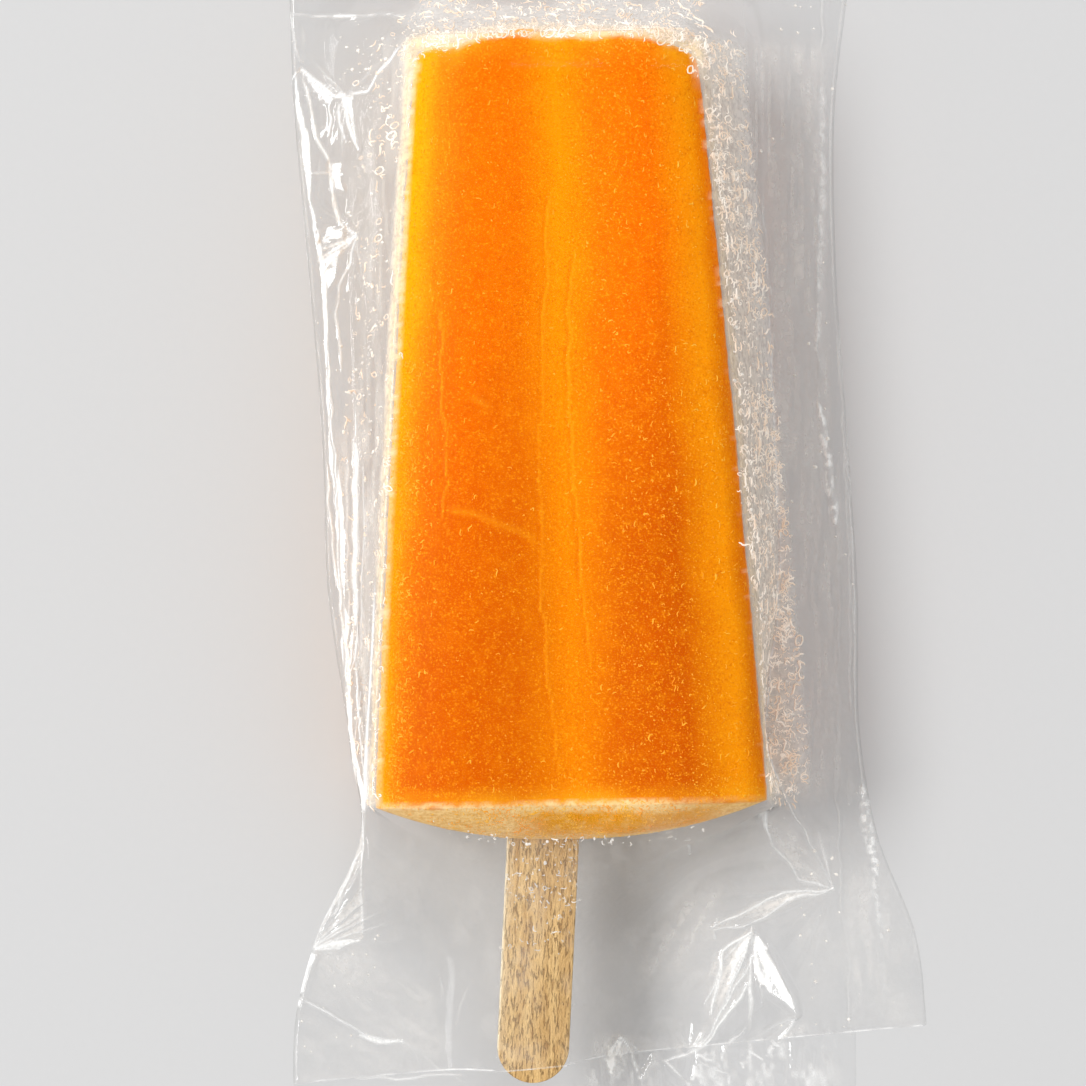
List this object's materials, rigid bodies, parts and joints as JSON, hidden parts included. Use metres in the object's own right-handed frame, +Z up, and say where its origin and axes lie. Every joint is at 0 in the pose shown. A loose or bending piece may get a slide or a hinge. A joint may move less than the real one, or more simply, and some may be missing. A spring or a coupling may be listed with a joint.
{
  "type": "ice lolly",
  "caption": "Tapered two-lobed orange ice lolly on a flat round-ended wooden stick, lying in a clear crinkled film sleeve that is open at the stick end.",
  "frame": {"origin": "middle of the underside of the whole object's box, on the surface that the sleeve lies on", "axes": "+Y along the lolly from the stick to the tip, +X to the right as seen from above with the tip away from the viewer, +Z up, away from the surface"},
  "size_m": [0.0898, 0.167, 0.0224],
  "materials": {
    "ice": "frozen orange water ice, translucent, with pale frost flecks and a wet sheen",
    "stick_wood": "plain unvarnished pale hardwood with fine dark grain along the stick",
    "film": "thin clear crinkled film with sharp white highlights and condensation"
  },
  "bodies": {
    "root": {"ice": "ice", "stick": "stick_wood", "sleeve": "film"}
  },
  "joints": []
}
